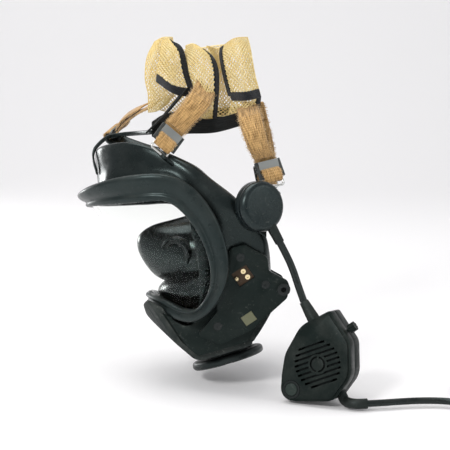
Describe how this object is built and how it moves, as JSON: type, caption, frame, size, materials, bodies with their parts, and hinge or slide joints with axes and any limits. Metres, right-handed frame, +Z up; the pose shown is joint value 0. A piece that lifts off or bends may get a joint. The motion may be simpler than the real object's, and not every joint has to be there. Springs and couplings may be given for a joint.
{
  "type": "full face respirator",
  "caption": "Full face respirator: ringed visor, rubber skirt with nose cup, chin air port, strapped mesh head harness, side voice module and a clip-on remote microphone.",
  "frame": {"origin": "centre of the mask's face opening, between the temples at eye height", "axes": "+Z up as the set stands, +X to the right and +Y away from the side that shows the microphone's front; the wearer's back is towards (0.831, 0.097, 0.548)"},
  "size_m": [0.4536, 0.2383, 0.3424],
  "materials": {
    "ring_plastic": "satin",
    "lens": "gloss",
    "skirt_rubber": "satin",
    "housing_plastic": "satin",
    "guard_rubber": "matte",
    "bright_steel": "satin",
    "insert_plastic": "matte",
    "contact_copper": "satin",
    "contact_brass": "satin",
    "cup_rubber": "satin",
    "valve_plastic": "satin",
    "valve_rubber": "satin",
    "port_plastic": "satin",
    "buckle_frame": "satin",
    "buckle_bar": "satin",
    "strap_tan": "matte",
    "net_yellow": "matte",
    "hem_black": "matte",
    "module_plastic": "satin",
    "lead_relief": "matte",
    "mic_plastic": "satin",
    "speaker_cloth": "matte",
    "bezel_plastic": "gloss",
    "button_rubber": "matte",
    "lead_jacket": "satin",
    "plug_metal": "satin"
  },
  "bodies": {
    "mask": {"buckle_links": "bright_steel", "chin_guard": "guard_rubber", "chin_housing": "housing_plastic", "clip_pin": "bright_steel", "clip_spring": "bright_steel", "contact_block": "contact_copper", "contact_pins": "contact_brass", "crown_band": "skirt_rubber", "exhale_cover": "valve_plastic", "exhale_seat": "valve_plastic", "exhale_spring": "bright_steel", "facepiece_skirt": "skirt_rubber", "forehead_left_frame": "buckle_frame", "forehead_left_strap": "strap_tan", "forehead_right_frame": "buckle_frame", "forehead_right_strap": "strap_tan", "harness_hem": "hem_black", "harness_net": "net_yellow", "lug_bushes": "bright_steel", "mic_back_shell": "mic_plastic", "mic_front_shell": "mic_plastic", "mic_lead": "lead_jacket", "mic_lead_boot": "lead_relief", "mic_speaker": "speaker_cloth", "module_base": "module_plastic", "module_cover": "module_plastic", "module_gland": "lead_relief", "nose_cup": "cup_rubber", "nose_valve_seats": "valve_plastic", "plate_inserts": "insert_plastic", "plate_screws": "bright_steel", "port_clamp_ring": "bright_steel", "port_gasket": "valve_rubber", "port_neck": "valve_plastic", "ptt_bezel": "bezel_plastic", "ptt_spring": "bright_steel", "radio_lead": "lead_jacket", "radio_lead_coil": "lead_jacket", "radio_lead_relief": "lead_relief", "radio_plug": "plug_metal", "side_plate_left": "housing_plastic", "side_plate_right": "housing_plastic", "temple_left_frame": "buckle_frame", "temple_left_strap": "strap_tan", "temple_right_frame": "buckle_frame", "temple_right_strap": "strap_tan", "visor_lens": "lens", "visor_ring": "ring_plastic"},
    "forehead_left_lever": {"forehead_left_bar": "buckle_bar"},
    "forehead_right_lever": {"forehead_right_bar": "buckle_bar"},
    "temple_left_lever": {"temple_left_bar": "buckle_bar"},
    "temple_right_lever": {"temple_right_bar": "buckle_bar"},
    "port_collar": {"port_flange": "port_plastic"},
    "inlet_valve": {"inlet_disc": "valve_rubber"},
    "exhale_valve": {"exhale_disc": "valve_rubber"},
    "nose_valve_left": {"nose_flap_left": "valve_rubber"},
    "nose_valve_right": {"nose_flap_right": "valve_rubber"},
    "talk_button": {"ptt_button": "button_rubber"},
    "volume_knob": {"mic_side_knob": "mic_plastic"},
    "clip": {"clip_jaw": "mic_plastic"}
  },
  "joints": [
    {"name": "forehead_left_lever_hinge", "type": "hinge", "parent": "mask", "child": "forehead_left_lever", "pos_m": [-0.02596, -0.06198, 0.06292], "axis": [0.7469, 0.1083, -0.6561], "range_deg": [0, 60]},
    {"name": "forehead_right_lever_hinge", "type": "hinge", "parent": "mask", "child": "forehead_right_lever", "pos_m": [-0.08558, 0.06921, 0.05601], "axis": [-0.5662, -0.6964, -0.4409], "range_deg": [0, 60]},
    {"name": "temple_left_lever_hinge", "type": "hinge", "parent": "mask", "child": "temple_left_lever", "pos_m": [0.06871, -0.04601, 0.03116], "axis": [0.9203, 0.3497, 0.1753], "range_deg": [0, 60]},
    {"name": "temple_right_lever_hinge", "type": "hinge", "parent": "mask", "child": "temple_right_lever", "pos_m": [0.06937, 0.05247, 0.01313], "axis": [0.9635, -0.2647, 0.0396], "range_deg": [0, 60]},
    {"name": "port_collar_turn", "type": "hinge", "parent": "mask", "child": "port_collar", "pos_m": [0.03041, -0.0289, -0.16388], "axis": [-0.2823, 0.1666, 0.9447], "range_deg": [0, 90]},
    {"name": "inlet_lift", "type": "slide", "parent": "mask", "child": "inlet_valve", "axis": [-0.2823, 0.1666, 0.9447], "range_m": [0, 0.0025], "stiffness_N_per_m": 20, "springref_m": -0.001},
    {"name": "exhale_lift", "type": "slide", "parent": "mask", "child": "exhale_valve", "axis": [0.8567, -0.0896, -0.5079], "range_m": [0, 0.002], "stiffness_N_per_m": 100, "springref_m": -0.001, "deforming": ["exhale_spring"]},
    {"name": "nose_flap_left_lift", "type": "slide", "parent": "mask", "child": "nose_valve_left", "axis": [0.4884, 0.8535, 0.1815], "range_m": [0, 0.0015], "stiffness_N_per_m": 20, "springref_m": -0.0005},
    {"name": "nose_flap_right_lift", "type": "slide", "parent": "mask", "child": "nose_valve_right", "axis": [0.4884, -0.7399, 0.4625], "range_m": [0, 0.0015], "stiffness_N_per_m": 20, "springref_m": -0.0005},
    {"name": "talk_button_press", "type": "slide", "parent": "mask", "child": "talk_button", "axis": [0.4185, 0.8975, -0.1392], "range_m": [0, 0.0015], "stiffness_N_per_m": 600, "springref_m": -0.001, "deforming": ["ptt_spring"]},
    {"name": "volume_knob_turn", "type": "hinge", "parent": "mask", "child": "volume_knob", "pos_m": [0.14014, -0.10884, -0.11313], "axis": [0.7504, -0.2554, 0.6097], "range_deg": [0, 270]},
    {"name": "clip_open", "type": "hinge", "parent": "mask", "child": "clip", "pos_m": [0.12632, -0.08526, -0.13197], "axis": [0.9063, -0.4226, 0], "range_deg": [0, 20], "stiffness_Nm_per_rad": 0.3, "springref_deg": -8.59, "deforming": ["clip_spring"]}
  ]
}
